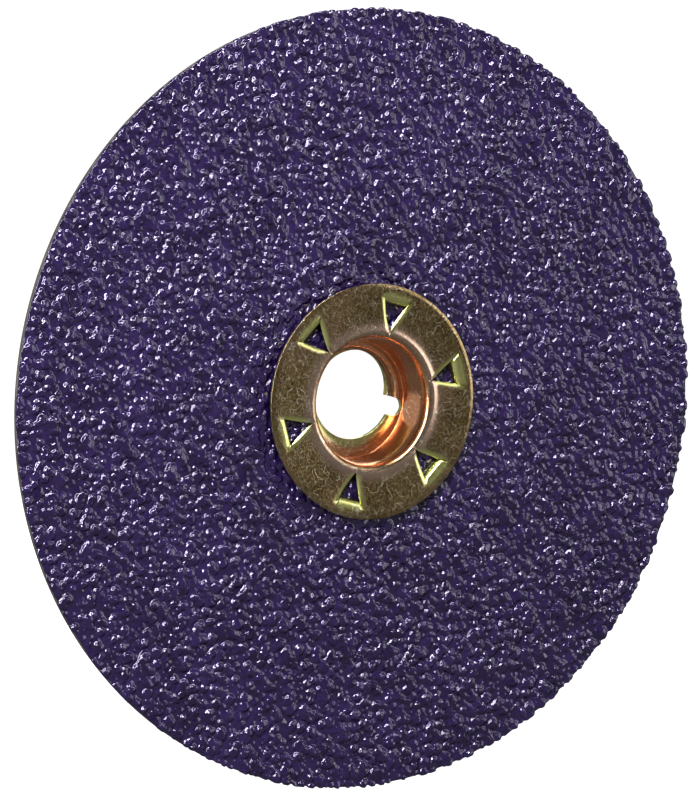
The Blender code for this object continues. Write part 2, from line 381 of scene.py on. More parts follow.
def scattered_grains(rng):
    """Centres of the grains, jittered from a hexagonal grid so that they are even but not in rows."""
    reach = DISC_RADIUS + GRAIN_MARGIN
    count = int(reach / GRAIN_SPACING) + 1
    columns, rows = np.meshgrid(np.arange(-count, count + 1), np.arange(-count * 2, count * 2 + 1))
    x = (columns + 0.5 * (rows % 2)) * GRAIN_SPACING * HEXAGON_ACROSS
    y = rows * GRAIN_SPACING * HEXAGON_ALONG
    spots = np.column_stack((x.ravel(), y.ravel()))
    spots += rng.uniform(-GRAIN_JITTER, GRAIN_JITTER, spots.shape) * GRAIN_SPACING
    distance = np.hypot(*spots.T)
    return spots[(distance < reach) & (distance > ARBOR_RADIUS - GRAIN_MARGIN)]


class GrainField:
    """Height of the resin-coated grain above the backing's rear face."""

    FACETS = 8
    CELL = 1.7 * MM
    MOST_IN_CELL = 6
    EDGE_SOFTNESS = 0.13 * MM
    VALLEY_SOFTNESS = 0.12 * MM
    ROUND_REACH = 0.95

    def __init__(self, seed):
        rng = np.random.default_rng(seed)
        self.spots = scattered_grains(rng)
        count = len(self.spots)
        low, high = GRAIN_SIZE
        self.size = low + (high - low) * rng.beta(1.2, 1.9, count)
        self.top = BED_HEIGHT + np.minimum(self.size * rng.uniform(0.45, 0.95, count), GRAIN_TOP_LIMIT)
        turn = rng.uniform(0, FULL_TURN, (count, 1))
        spread = (np.arange(self.FACETS) + rng.uniform(-0.35, 0.35, (count, self.FACETS)))
        bearing = turn + spread * FULL_TURN / self.FACETS
        self.facing = np.stack((np.cos(bearing), np.sin(bearing)), -1)
        self.reach = self.size[:, None] * rng.uniform(0.45, 1.0, (count, self.FACETS))
        self.slope = rng.uniform(1.0, 2.5, (count, self.FACETS))
        self.blunt = rng.uniform(0.35, 1.0, count)
        lean = rng.uniform(0, FULL_TURN, count)
        tilt = rng.uniform(0.0, 0.40, count)
        self.lean = np.column_stack((np.cos(lean), np.sin(lean))) * tilt[:, None]
        self.index_cells()

    def index_cells(self):
        """Sort the grains into square cells, so that those near a point are found fast."""
        self.origin = self.spots.min(0) - self.CELL
        cell = ((self.spots - self.origin) / self.CELL).astype(int)
        self.wide = cell.max(0) + 3
        key = cell[:, 0] * self.wide[1] + cell[:, 1]
        order = np.argsort(key, kind="stable")
        self.members = order
        self.first = np.searchsorted(key[order], np.arange(self.wide[0] * self.wide[1] + 1))

    def near(self, points):
        """Indices of the grains in the nine cells round each point, -1 where there are fewer."""
        cell = ((points - self.origin) / self.CELL).astype(int)
        found = []
        for dx in (-1, 0, 1):
            for dy in (-1, 0, 1):
                key = np.clip((cell[:, 0] + dx) * self.wide[1] + cell[:, 1] + dy, 0, len(self.first) - 2)
                start, end = self.first[key], self.first[key + 1]
                for k in range(self.MOST_IN_CELL):
                    place = start + k
                    inside = place < end
                    member = self.members[np.minimum(place, len(self.members) - 1)]
                    found.append(np.where(inside, member, -1))
        return found

    def grain_height(self, grain, points):
        """Height of one grain over each point: its tilted top, cut off by steep and partly round sides."""
        offset = points - self.spots[grain]
        top = self.top[grain] + (offset * self.lean[grain]).sum(-1)
        flat_side = (offset[:, None] * self.facing[grain]).sum(-1) - self.reach[grain]
        round_side = (np.hypot(*offset.T) - self.ROUND_REACH * self.size[grain])[:, None]
        along = flat_side + (round_side - flat_side) * self.blunt[grain][:, None]
        planes = np.column_stack((top, top[:, None] - along * self.slope[grain]))
        lowest = planes.min(-1)
        soft = self.EDGE_SOFTNESS
        return lowest - soft * np.log(np.exp((lowest[:, None] - planes) / soft).sum(-1))

    def heights(self, points):
        """Height of the coat over each point: the highest grain or the bed, with rounded valleys."""
        soft = self.VALLEY_SOFTNESS
        total = np.ones(len(points))
        for grain in self.near(points):
            valid = grain >= 0
            if valid.any():
                height = self.grain_height(grain[valid], points[valid])
                total[valid] += np.exp((height - BED_HEIGHT) / soft)
        return BED_HEIGHT + soft * np.log(total)


def flange_height(radius):
    """Middle of the flange, between its rim and its shoulder."""
    outer_r, outer_z, _ = FLANGE_EDGE
    inner_r, inner_z, _ = FLANGE_FOOT
    return inner_z + (outer_z - inner_z) * (radius - inner_r) / (outer_r - inner_r)


def even_angles(count):
    """Angles of a ring's points, from 0."""
    return np.arange(count) * FULL_TURN / count


def coat_rings():
    """Points of the coat's face, in even rings, and how many points each ring has."""
    count = int((DISC_RADIUS - ARBOR_RADIUS) / (COAT_STEP * 0.9)) + 1
    rings = []
    for radius in np.linspace(ARBOR_RADIUS, DISC_RADIUS, count):
        angle = even_angles(int(FULL_TURN * radius / COAT_STEP))
        rings.append(np.column_stack((np.cos(angle), np.sin(angle))) * radius)
    return np.concatenate(rings), [len(ring) for ring in rings]


def coat_height(field, points):
    """Height of the coat over each point, pressed flat under the hub's flange."""
    height = np.concatenate([field.heights(part) for part in np.array_split(points, BATCHES)])
    radius = np.hypot(*points.T)
    ceiling = flange_height(radius) - SHEET / 2 - FLANGE_CLEARANCE
    return np.where(radius < HUB_RADIUS, np.minimum(height, ceiling), height)


def rim_overhang(points, rim_height):
    """How far each point near the rim is moved out, where a grain stands on the rim."""
    standing = np.clip(rim_height - BED_HEIGHT - RIM_OVERHANG_START, 0, None)
    overhang = np.minimum(standing * RIM_OVERHANG, RIM_OVERHANG_LIMIT)
    turn = np.arctan2(points[:, 1], points[:, 0])
    spread = np.interp(turn % FULL_TURN, even_angles(len(rim_height)), overhang, period=FULL_TURN)
    return spread * smoothstep(DISC_RADIUS - RIM_OVERHANG_WIDTH, DISC_RADIUS, np.hypot(*points.T))


def coat_surface(points, height, outer):
    """The coat's face in space, with its grains overhanging the rim and its edge rounded down."""
    radius = np.hypot(*points.T)
    spread = rim_overhang(points, height[-outer:])
    drop = RIM_DROP * smoothstep(DISC_RADIUS - RIM_DROP_WIDTH, DISC_RADIUS, radius)
    height = height - drop * (height - GRAIN_REAR)
    return np.column_stack((points * (1 + spread / radius)[:, None], height))


def make_coated_grain(field):
    """The grain and the resin that follows it, as one surface with a flat rear."""
    points, counts = coat_rings()
    inner, outer = counts[0], counts[-1]
    top = coat_surface(points, coat_height(field, points), outer)
    floor_in = np.column_stack((points[:inner], np.full(inner, GRAIN_REAR)))
    floor_out = np.column_stack((points[-outer:], np.full(outer, GRAIN_REAR)))
    belly = top[-outer:] * (1, 1, RIM_BELLY) + (0, 0, (1 - RIM_BELLY) * GRAIN_REAR)
    vertices = np.concatenate((floor_in, top, belly, floor_out, floor_in))
    faces = join_rings([inner] + counts + [outer, outer, inner])
    piece = mesh_piece("coated_grain", vertices, faces.tolist(), [resin_material()],
                       ("abrasive_grain", "size_coat"))
    paint(piece, "stand", smoothstep(*STAND_RANGE, vertices[:, 2]))


# ---------------------------------------------------------------- backing and make coat


SLOT_HALF_DEPTH = 0.62 * MM
SLOT_INNER = TANG_LEG_RADIUS - SLOT_HALF_DEPTH
SLOT_OUTER = TANG_LEG_RADIUS + SLOT_HALF_DEPTH
SLOT_HALF_WIDTH = 2.15 * MM
SLOT_HALF_ANGLE = math.asin(SLOT_HALF_WIDTH / TANG_LEG_RADIUS)
SLOT_COLUMNS = 12
SHEET_COLUMNS = 60
RING_ROUND = 0.12 * MM
RING_SMOOTH_ANGLE = math.radians(50)
REAR_LIP = 0.10 * MM
REAR_LIP_SPREAD = 0.8 * MM


def ring_angles():
    """Angles of a ring's columns, with some of them lined up with the slots' ends."""
    inside = np.linspace(-SLOT_HALF_ANGLE, SLOT_HALF_ANGLE, SLOT_COLUMNS + 1)[:-1]
    between = np.linspace(SLOT_HALF_ANGLE, SECTOR - SLOT_HALF_ANGLE, SHEET_COLUMNS + 1)[:-1]
    one = np.concatenate((inside, between))
    return np.concatenate([TANG_FIRST_ANGLE + SECTOR * k + one for k in range(TANG_COUNT)])


def ring_radii():
    """Radii of a ring's rows, with some of them lined up with the slots' sides."""
    inner = np.linspace(ARBOR_RADIUS + RING_ROUND, SLOT_INNER, 6)[:-1]
    outer = np.linspace(SLOT_OUTER, DISC_RADIUS - RING_ROUND, 30)
    return np.concatenate((inner, (SLOT_INNER,), outer))


def from_tang(angle):
    """Angle from the middle of the nearest tang."""
    return (angle - TANG_FIRST_ANGLE + SECTOR / 2) % SECTOR - SECTOR / 2


def slot_lift(radius, angle):
    """How far the rear face stands out round the slots, where the tangs burst through it."""
    across = np.maximum(np.abs(from_tang(angle)) - SLOT_HALF_ANGLE, 0) * radius
    along = np.maximum(np.abs(radius - TANG_LEG_RADIUS) - SLOT_HALF_DEPTH, 0)
    return REAR_LIP * np.exp(-((np.hypot(across, along) / REAR_LIP_SPREAD) ** 2))


def ring_points(rows, angle, lifted_height):
    """Points of a ring's rows, with the rear face lifted round the slots where it is asked for."""
    points = []
    for radius, z in rows:
        height = np.full(len(angle), z)
        if z == lifted_height:
            height = height - slot_lift(radius, angle)
        points.append(np.column_stack((radius * np.cos(angle), radius * np.sin(angle), height)))
    return np.concatenate(points)


def ring_faces(rows, count, lower, upper):
    """Faces of a ring of rows closed on itself, left open at the slots in its lower and upper rows."""
    in_slot = np.arange(count) % (SLOT_COLUMNS + SHEET_COLUMNS) < SLOT_COLUMNS
    faces = []
    for k in range(rows):
        a, b = k * count, (k + 1) % rows * count
        for i in range(count):
            j = (i + 1) % count
            if not (in_slot[i] and k in (lower, upper)):
                faces.append((a + i, a + j, b + j, b + i))
    return faces


def slot_walls(count, lower, upper):
    """Faces of the slots' four walls, which join the ring's two sides."""
    near, far = lower * count, (lower + 1) * count
    near_top, far_top = (upper + 1) * count, upper * count
    faces = []
    for tang in range(TANG_COUNT):
        first = tang * (SLOT_COLUMNS + SHEET_COLUMNS)
        last = first + SLOT_COLUMNS
        for i in range(first, last):
            faces.append((near + i, near_top + i, near_top + i + 1, near + i + 1))
            faces.append((far + i + 1, far_top + i + 1, far_top + i, far + i))
        faces.append((near + first, far + first, far_top + first, near_top + first))
        faces.append((near_top + last, far_top + last, far + last, near + last))
    return faces


def make_ring(name, bottom, top, material, node, rear_lip=False):
    """A flat ring with rounded edges and six slots, closed all round."""
    angle = ring_angles()
    radii = ring_radii()
    soft = min(RING_ROUND, (top - bottom) * 0.4)
    rows = [(ARBOR_RADIUS, bottom + soft), *((r, bottom) for r in radii), (DISC_RADIUS, bottom + soft)]
    rows += [(DISC_RADIUS, top - soft), *((r, top) for r in radii[::-1]), (ARBOR_RADIUS, top - soft)]
    points = ring_points(rows, angle, bottom if rear_lip else None)
    lower = 1 + int(np.argmin(np.abs(radii - SLOT_INNER)))
    upper = len(rows) - 2 - lower
    faces = ring_faces(len(rows), len(angle), lower, upper) + slot_walls(len(angle), lower, upper)
    mesh_piece(name, points, faces, [material], (node,), RING_SMOOTH_ANGLE)


# ---------------------------------------------------------------- pressed hub

OPENING_HALF_ANGLE = math.atan2(TANG_HALF_WIDTH, TANG_BEND_RADIUS)
TANG_LENGTH = TANG_BEND_RADIUS - TANG_POINT_RADIUS
TANG_COLUMNS = 8
PLATE_COLUMNS = 44
PLATE_CROWDING = 0.12
ARC_STEP = math.radians(9)
RUN_STEP = 0.45 * MM
SAME_ROW = 0.15 * MM
CLOSED_OPENING = math.radians(3), 0.6 * MM
STRAIGHT_FADE = math.radians(10)
NOTCH_END = NOTCH_END_CENTRE + NOTCH_HALF_WIDTH
NOTCH_COLUMNS_ANGLE = math.radians(12)
NOTCH_REACH = math.radians(45)
NOTCH_CLOSING = 0.5 * MM
ROWS_BEFORE_FLOOR = 3
FLOOR_RADII_MM = (9.60, 9.56, 9.46, 9.32, 9.16, 9.00, 8.75, 8.45, 8.20, 7.90, 7.55, 7.20, 6.90)
FLOOR_RADII = [radius * MM for radius in FLOOR_RADII_MM]
EDGE_ROUND = 0.07 * MM
SLIT_TOP = 3.3 * MM
NECK_OUTSIDE = 12 * MM
FLANGE_REAR = 2.2 * MM
# Tints of the plating, most of them painted light: the radii in millimetres where each rises and where it
# falls, and its strength.
# The neck's coppery colour: partly the film's own tint where the sheet was drawn, partly painted reflection
# of the neck's walls in each other.
COPPER_REFLECTION_TINT = (7.6, 8.8), (10.3, 11.1), 0.9
# Painted highlight: a paler band round the neck's foot.
FOOT_HIGHLIGHT_TINT = (10.8, 11.5), (11.7, 13.8), 0.55
# Painted highlights, greenish-yellow: where the tangs bend down, on the thread's lip and on the edges
# rolled beside the openings.
BENT_HIGHLIGHT_TINT = (16.0, 16.8), (17.6, 18.3), 0.6
LIP_HIGHLIGHT_TINT = (0.0, 1.0), (7.4, 8.3), 0.35
ROLLED_HIGHLIGHT_TINT = 0.9
BENT_HIGHLIGHT_WIDTH = (2.2 * MM, 3.0 * MM)
LIP_FRONT = -2 * MM
# About the cosine of the slant of an opening's sides.
OPENING_SLANT = 0.92
ROLL_WIDTH = 0.75 * MM
ROLL_DEPTH = 0.34 * MM


def rounded_path(corners):
    """Points along straight runs whose corners are rounded by arcs tangent to them."""
    points = [np.array(corners[0][:2])]
    for before, corner, after in zip(corners, corners[1:], corners[2:]):
        r, z, rounding = corner
        towards_a = math.atan2(before[1] - z, before[0] - r)
        towards_b = math.atan2(after[1] - z, after[0] - r)
        opening = (towards_b - towards_a + math.pi) % FULL_TURN - math.pi
        half = abs(opening) / 2
        bisector = towards_a + opening / 2
        inward = np.array((math.cos(bisector), math.sin(bisector)))
        centre = np.array((r, z)) + rounding / math.sin(half) * inward
        sweep = math.pi - 2 * half
        turn = math.copysign(1.0, opening)
        start = towards_a - turn * math.pi / 2
        steps = max(2, math.ceil(sweep / ARC_STEP))
        for i in range(steps + 1):
            angle = start - turn * sweep * i / steps
            points.append(centre + rounding * np.array((math.cos(angle), math.sin(angle))))
    points.append(np.array(corners[-1][:2]))
    return points


def put_row_at(rows, radius):
    """Make one of the rows pass through a radius: the nearest row, or a new one if none is near."""
    for i, (a, b) in enumerate(zip(rows, rows[1:])):
        if a[0] > radius > b[0]:
            share = (a[0] - radius) / (a[0] - b[0])
            nearest = i if share < 0.5 else i + 1
            point = a + (b - a) * share
            if abs(rows[nearest][0] - radius) < SAME_ROW:
                rows[nearest] = point
            else:
                rows.insert(i + 1, point)
            return


def hub_rows():
    """Rows of the hub's mesh, from the rim to the thread, as (radius, height) of the sheet's middle."""
    path = rounded_path(HUB_SECTION)
    rows = []
    for a, b in zip(path[:-2], path[1:-1]):
        steps = max(1, math.ceil(np.linalg.norm(b - a) / RUN_STEP))
        rows += [a + (b - a) * i / steps for i in range(steps)]
    rows.append(path[-2])
    put_row_at(rows, TANG_BEND_RADIUS)
    put_row_at(rows, TANG_POINT_RADIUS)
    last_radius, floor = path[-1]
    rows += [np.array((r, floor)) for r in FLOOR_RADII + [last_radius]]
    return np.array(rows)


def pinched(offset, default, wanted, reach):
    """Angles round a feature, squeezed so that the one at default goes to wanted."""
    away = np.abs(offset)
    inside = away * wanted / default
    outside = wanted + (away - default) * (reach - wanted) / (reach - default)
    moved = np.where(away <= default, inside, np.where(away < reach, outside, away))
    return np.copysign(moved, offset)


def opening_half_angle(radius):
    """Half the angle that the columns of a tang's opening take in a row of the mesh."""
    if radius > TANG_BEND_RADIUS:
        return OPENING_HALF_ANGLE
    if radius >= TANG_POINT_RADIUS:
        share = (radius - TANG_POINT_RADIUS) / TANG_LENGTH
        return math.atan2(TANG_HALF_WIDTH * share, radius)
    half, width = CLOSED_OPENING
    return half * min((TANG_POINT_RADIUS - radius) / width, 1.0)


def notch_half_angle(radius):
    """Half the angle of the notch at a radius, and how its columns open again past its end."""
    if radius >= NOTCH_END:
        return NOTCH_COLUMNS_ANGLE * min((radius - NOTCH_END) / NOTCH_CLOSING, 1.0)
    if radius > math.hypot(NOTCH_END_CENTRE, NOTCH_HALF_WIDTH):
        squares = radius**2 + NOTCH_END_CENTRE**2 - NOTCH_HALF_WIDTH**2
        cosine = squares / (2 * radius * NOTCH_END_CENTRE)
        return math.acos(min(cosine, 1.0))
    return math.asin(NOTCH_HALF_WIDTH / radius)


def thread_lift(angle):
    """How far the edge of the thread stands in front of the flat floor."""
    turn = (angle - NOTCH_ANGLE) % FULL_TURN
    rise = (turn - NOTCH_RAMP) / (FULL_TURN - 2 * NOTCH_RAMP)
    rise = np.where(turn < NOTCH_RAMP, 0.5 - 0.5 * turn / NOTCH_RAMP, rise)
    late = turn > FULL_TURN - NOTCH_RAMP
    rise = np.where(late, 0.5 + 0.5 * (FULL_TURN - turn) / NOTCH_RAMP, rise)
    return THREAD_PITCH * (rise - THREAD_LEVEL)


def thread_relief(angle):
    """How far the edge of the thread is drawn back from its circle."""
    away = (angle - RELIEF_ANGLE + math.pi) % FULL_TURN - math.pi
    return RELIEF_DEPTH * np.exp(-((away / RELIEF_SPREAD) ** 2))


def column_angles():
    """Angles of the columns, as the nearest tang's and the offset from it. They crowd at the openings."""
    tang = np.linspace(-OPENING_HALF_ANGLE, OPENING_HALF_ANGLE, TANG_COLUMNS + 1)[:-1]
    share = np.linspace(0.0, 1.0, PLATE_COLUMNS + 1)[:-1]
    share = share - PLATE_CROWDING * np.sin(FULL_TURN * share)
    plate = OPENING_HALF_ANGLE + (SECTOR - 2 * OPENING_HALF_ANGLE) * share
    offset = np.concatenate((tang, plate))
    offset = np.where(offset > SECTOR / 2, offset - SECTOR, offset)
    ahead = np.arange(TANG_COLUMNS + PLATE_COLUMNS) > TANG_COLUMNS + PLATE_COLUMNS / 2
    middles = [TANG_FIRST_ANGLE + SECTOR * (k + ahead) for k in range(TANG_COUNT)]
    return np.concatenate(middles), np.tile(offset, TANG_COUNT)


def edge_roll(radius, distance):
    """How far the sheet is pulled down beside an opening, and how much of it is rolled."""
    along = np.clip((radius - TANG_POINT_RADIUS) / TANG_LENGTH, 0.0, 1.0)
    lens = np.sin(math.pi * along) ** 0.6
    near = np.clip(1 - distance / ROLL_WIDTH, 0.0, 1.0)
    return ROLL_DEPTH * lens * near**2, lens * near


def beside_opening(radius, height, offset, away, half):
    """Radii and heights of a row's points where it passes the tangs.

    The bases of the tangs are straight, and the sheet is rolled down beside their openings.
    """
    fade = 1.0 if radius <= TANG_BEND_RADIUS else 1.0 - smoothstep(TANG_BEND_RADIUS, FLANGE_EDGE[0], radius)
    share = 1 - smoothstep(half, half + STRAIGHT_FADE, offset)
    stretch = 1 / np.cos(np.minimum(away, half)) - 1
    r = radius * (1 + fade * share * stretch)
    if radius > FLANGE_FOOT[0]:
        height = height + (flange_height(r) - flange_height(radius))
    return r, height - edge_roll(radius, (away - half) * radius)[0]


def from_notch(angle):
    """Angle from the middle of the notch."""
    return (angle - NOTCH_ANGLE + math.pi) % FULL_TURN - math.pi


def notch_sides(angle):
    """The two columns that become the notch's sides, and the angle of each from its middle."""
    away = from_notch(angle)
    sides = [int(np.argmin(np.abs(away - side * NOTCH_COLUMNS_ANGLE))) for side in (-1, 1)]
    return sides, [abs(away[side]) for side in sides]


def beside_notch(radius, height, angle, defaults):
    """Angles, radii and heights of a row of the floor: squeezed round the notch, bent into the thread."""
    bend = 1 - smoothstep(THREAD_EDGE, THREAD_ROOT, radius)
    half = notch_half_angle(radius + bend * thread_relief(NOTCH_ANGLE))
    away = from_notch(angle)
    before = pinched(away, defaults[0], half, NOTCH_REACH)
    after = pinched(away, defaults[1], half, NOTCH_REACH)
    angle = NOTCH_ANGLE + np.where(away < 0, before, after)
    return angle, radius + bend * thread_relief(angle), height + bend * thread_lift(angle)


def hub_grid(rows):
    """Points of the hub's middle surface, and which cells are cut away."""
    middle, offset = column_angles()
    count = len(middle)
    grid = np.zeros((len(rows), count, 3))
    cut = np.zeros((len(rows) - 1, count), bool)
    in_opening = np.arange(count) % (TANG_COLUMNS + PLATE_COLUMNS) < TANG_COLUMNS
    first_floor = len(rows) - len(FLOOR_RADII) - 1 - ROWS_BEFORE_FLOOR
    for i, (radius, height) in enumerate(rows):
        half = opening_half_angle(radius)
        angle = middle + pinched(offset, OPENING_HALF_ANGLE, half, SECTOR / 2)
        r, z = np.full(count, radius), np.full(count, height)
        if TANG_POINT_RADIUS <= radius < FLANGE_EDGE[0]:
            r, z = beside_opening(radius, z, np.abs(offset), np.abs(angle - middle), half)
            if radius < TANG_BEND_RADIUS:
                cut[i - 1, in_opening] = True
        if i == first_floor:
            sides, defaults = notch_sides(angle)
        if i >= first_floor:
            angle, r, z = beside_notch(radius, z, angle, defaults)
            if radius < NOTCH_END - SAME_POINT:
                cut[i - 1, sides[0]:sides[1]] = True
        grid[i] = np.column_stack((r * np.cos(angle), r * np.sin(angle), z))
    return grid, cut


def tang_rows():
    """Rows of a tang past its base, as (radius, height, distance from the base)."""
    top = flange_height(TANG_BEND_RADIUS)
    leg = TANG_LEG_RADIUS
    steps = [math.pi / 2 * i / 10 for i in range(1, 11)]
    rows = [(TANG_BEND_RADIUS - TANG_UPPER_BEND * math.sin(a), top - TANG_UPPER_BEND * (1 - math.cos(a)),
             TANG_UPPER_BEND * a) for a in steps]
    straight = rows[-1][1]
    bend_end = rows[-1][2]
    rows += [(leg, straight * (1 - i / 4), bend_end + straight * i / 4) for i in range(1, 5)]
    distance = rows[-1][2]
    rows += [(leg + TANG_CLINCH_BEND * (1 - math.cos(a)), -TANG_CLINCH_BEND * math.sin(a),
              distance + TANG_CLINCH_BEND * a) for a in steps]
    radius, height, distance = rows[-1]
    rest = TANG_LENGTH - distance
    rows += [(radius + rest * i / 3, height, distance + rest * i / 3) for i in range(1, 4)]
    return rows


def tang_half_width(distance):
    """Half the width of a tang at a distance from its base, less what the tearing took."""
    tear = TANG_TEAR * smoothstep(0.0, TANG_UPPER_BEND, distance)
    return max(TANG_HALF_WIDTH * (1 - distance / TANG_LENGTH) - tear, TANG_POINT_WIDTH)


def add_tang(points, faces, base, angle):
    """Add a tang at an angle to a surface. Its base is a list of the surface's points."""
    along = np.array((math.cos(angle), math.sin(angle), 0.0))
    across = np.array((-math.sin(angle), math.cos(angle), 0.0))
    for radius, height, distance in tang_rows():
        following = []
        for share in np.linspace(-1, 1, TANG_COLUMNS + 1):
            following.append(len(points))
            points.append(along * radius + across * share * tang_half_width(distance) + (0, 0, height))
        for a, b, c, d in zip(base, base[1:], following, following[1:]):
            faces.append((a, c, d, b))
        base = following


def hub_middle_surface():
    """The middle of the pressed sheet: rings with openings and a notch, and the tangs bent down."""
    rows = hub_rows()
    grid, cut = hub_grid(rows)
    count = grid.shape[1]
    points = list(grid.reshape(-1, 3))
    faces = []
    for i, j in np.argwhere(~cut).tolist():
        k = (j + 1) % count
        faces.append((i * count + j, (i + 1) * count + j, (i + 1) * count + k, i * count + k))
    bend_row = int(np.argmin(np.abs(rows[:, 0] - TANG_BEND_RADIUS)))
    for tang in range(TANG_COUNT):
        first = bend_row * count + tang * (TANG_COLUMNS + PLATE_COLUMNS)
        base = list(range(first, first + TANG_COLUMNS + 1))
        add_tang(points, faces, base, TANG_FIRST_ANGLE + SECTOR * tang)
    return points, faces


def joined_sheet(points, faces):
    """The middle surface as a mesh builder, with doubled points joined and its normals to the front."""
    middle = bmesh.new()
    corners = [middle.verts.new(point) for point in points]
    for face in faces:
        middle.faces.new([corners[i] for i in face])
    bmesh.ops.remove_doubles(middle, verts=middle.verts, dist=SAME_POINT)
    bmesh.ops.recalc_face_normals(middle, faces=middle.faces)
    middle.verts.ensure_lookup_table()
    middle.verts.index_update()
    if max(middle.verts, key=lambda vert: vert.co.z).normal.z < 0:
        bmesh.ops.reverse_faces(middle, faces=middle.faces)
    middle.normal_update()
    return middle


def thickened(middle, thickness):
    """A sheet made into a solid: its points, the faces of its two skins, and those of its cut walls."""
    count = len(middle.verts)
    half = [vert.normal * thickness / 2 * vert.calc_shell_factor() for vert in middle.verts]
    front = [vert.co + away for vert, away in zip(middle.verts, half)]
    rear = [vert.co - away for vert, away in zip(middle.verts, half)]
    skins = [[vert.index for vert in face.verts] for face in middle.faces]
    skins += [[count + vert.index for vert in reversed(face.verts)] for face in middle.faces]
    walls = []
    for edge in middle.edges:
        if edge.is_boundary:
            loop = edge.link_loops[0]
            a, b = loop.vert.index, loop.link_loop_next.vert.index
            walls.append([b, a, count + a, count + b])
    return [tuple(point) for point in front + rear], skins, walls


def weigh_edges(mesh, count):
    """Mark the edges round the cut faces for rounding, except in the slits beside the tangs."""
    walls = set()
    for polygon in mesh.polygons:
        if polygon.material_index == 1:
            walls.update(polygon.edge_keys)
    weight = mesh.attributes.new("bevel_weight_edge", "FLOAT", "EDGE")
    for edge in mesh.edges:
        a, b = edge.vertices
        along = (a < count // 2) == (b < count // 2)
        middle = (mesh.vertices[a].co + mesh.vertices[b].co) / 2
        radius, height = math.hypot(middle.x, middle.z), -middle.y
        beside_tang = TANG_LEG_RADIUS - SHEET < radius < TANG_BEND_RADIUS + SHEET
        if edge.key in walls and along and not (beside_tang and height < SLIT_TOP):
            weight.data[edge.index].value = 1.0


def band(tint, radius):
    """Strength of a tint that rises between two radii and falls between two others."""
    rise, fall, strength = tint
    return strength * smoothstep(*rise, radius / MM) * (1 - smoothstep(*fall, radius / MM))


def paint_hub_tints_and_highlights(hub, points):
    """Paint the plating's tints and painted light on the neck, its foot and the openings: coppery painted
    reflection over the film's own tint in the neck, a paler painted highlight round its foot, and
    greenish-yellow painted highlights on the bends, the rolled edges and the thread's lip.
    """
    x, y, z = points.T
    radius = np.hypot(x, y)
    away = from_tang(np.arctan2(y, x))
    along = radius * np.cos(away)
    across = np.abs(radius * np.sin(away))
    half_width = TANG_HALF_WIDTH * (along - TANG_POINT_RADIUS) / TANG_LENGTH
    on_flange = radius > NECK_OUTSIDE
    # Painted highlight where the tangs bend down: all over the tangs behind the flange, and in a band at
    # the bend.
    bent = np.where(z < FLANGE_REAR, BENT_HIGHLIGHT_TINT[-1], band(BENT_HIGHLIGHT_TINT, radius)) * on_flange
    bent = bent * (1 - smoothstep(*BENT_HIGHLIGHT_WIDTH, across))
    # Painted highlight on the edges rolled down beside the openings.
    rolled = ROLLED_HIGHLIGHT_TINT * edge_roll(along, (across - half_width) * OPENING_SLANT)[1] * on_flange
    # Painted highlight on the thread's lip, at the neck's floor.
    lip = band(LIP_HIGHLIGHT_TINT, radius) * (z < LIP_FRONT)
    # Coppery painted reflection in the neck, over the film's own tint where the sheet was drawn.
    paint(hub, "copper_reflection", band(COPPER_REFLECTION_TINT, radius))
    # Paler painted highlight round the neck's foot.
    paint(hub, "foot_highlight", band(FOOT_HIGHLIGHT_TINT, radius))
    # Greenish-yellow painted highlights: the strongest of the three at each point.
    paint(hub, "green_highlight", np.maximum(np.maximum(bent, lip), rolled))


def make_hub():
    """The pressed and plated hub: its sheet thickened, painted with its tints and with painted highlights
    and reflections, and rounded along its cut edges.
    """
    middle = joined_sheet(*hub_middle_surface())
    points, skins, walls = thickened(middle, SHEET)
    middle.free()
    hub = mesh_piece("hub_pressing", points, skins + walls, [plate_material(), sheared_material()],
                     ("hub",))
    paint_hub_tints_and_highlights(hub, np.array(points))
    for polygon in hub.data.polygons[len(skins):]:
        polygon.material_index = 1
    weigh_edges(hub.data, len(points))
    bevel = hub.modifiers.new("edge", "BEVEL")
    bevel.width = EDGE_ROUND
    bevel.segments = 2
    bevel.limit_method = "WEIGHT"
    bevel.use_clamp_overlap = False
    apply_modifiers(hub)


# ---------------------------------------------------------------- stage, light and camera


WORLD_FRONT = 0.11
WORLD_BACK = 0.20
WORLD_SEEN = 1.15
WORLD_TURN = (-0.75, 0.10)
FLOOR_GREYS = (0.60, 0.64)
FLOOR_UNSEEN = 0.15
FLOOR_GLOW = 0.03
FLOOR_SEEN = 0.85
FLOOR_RADIUS = 0.42
FLOOR_DROP = 1.5 * MM


def floor_material():
    """Pale matt floor. It lights and mirrors into the part far less than the camera sees of it."""
    n = Nodes("floor")
    seen = n.add("LightPath").outputs["Is Camera Ray"]
    grey = n.ramp(n.noise(n.place(), 4.0), 0.3, 0.7, *FLOOR_GREYS)
    grey = n.math("MULTIPLY", grey, n.ramp(seen, 0.0, 1.0, FLOOR_UNSEEN, 1.0))
    colour = n.add("CombineColor", Red=grey, Green=grey, Blue=grey).outputs[0]
    n.set(n.shader.inputs["Base Color"], colour)
    n.shader.inputs["Roughness"].default_value = 0.8
    n.shader.inputs["Emission Color"].default_value = (1, 1, 1, 1)
    n.set(n.shader.inputs["Emission Strength"], n.ramp(seen, 0.0, 1.0, FLOOR_GLOW, FLOOR_SEEN))
    return n.material


def make_stage():
    """A round floor under the disc."""
    builder = bmesh.new()
    bmesh.ops.create_circle(builder, cap_ends=True, segments=96, radius=FLOOR_RADIUS)
    mesh = bpy.data.meshes.new("floor")
    builder.to_mesh(mesh)
    builder.free()
    mesh.materials.append(floor_material())
    floor = bpy.data.objects.new("floor", mesh)
    floor.location.z = -DISC_RADIUS - FLOOR_DROP
    bpy.context.collection.objects.link(floor)


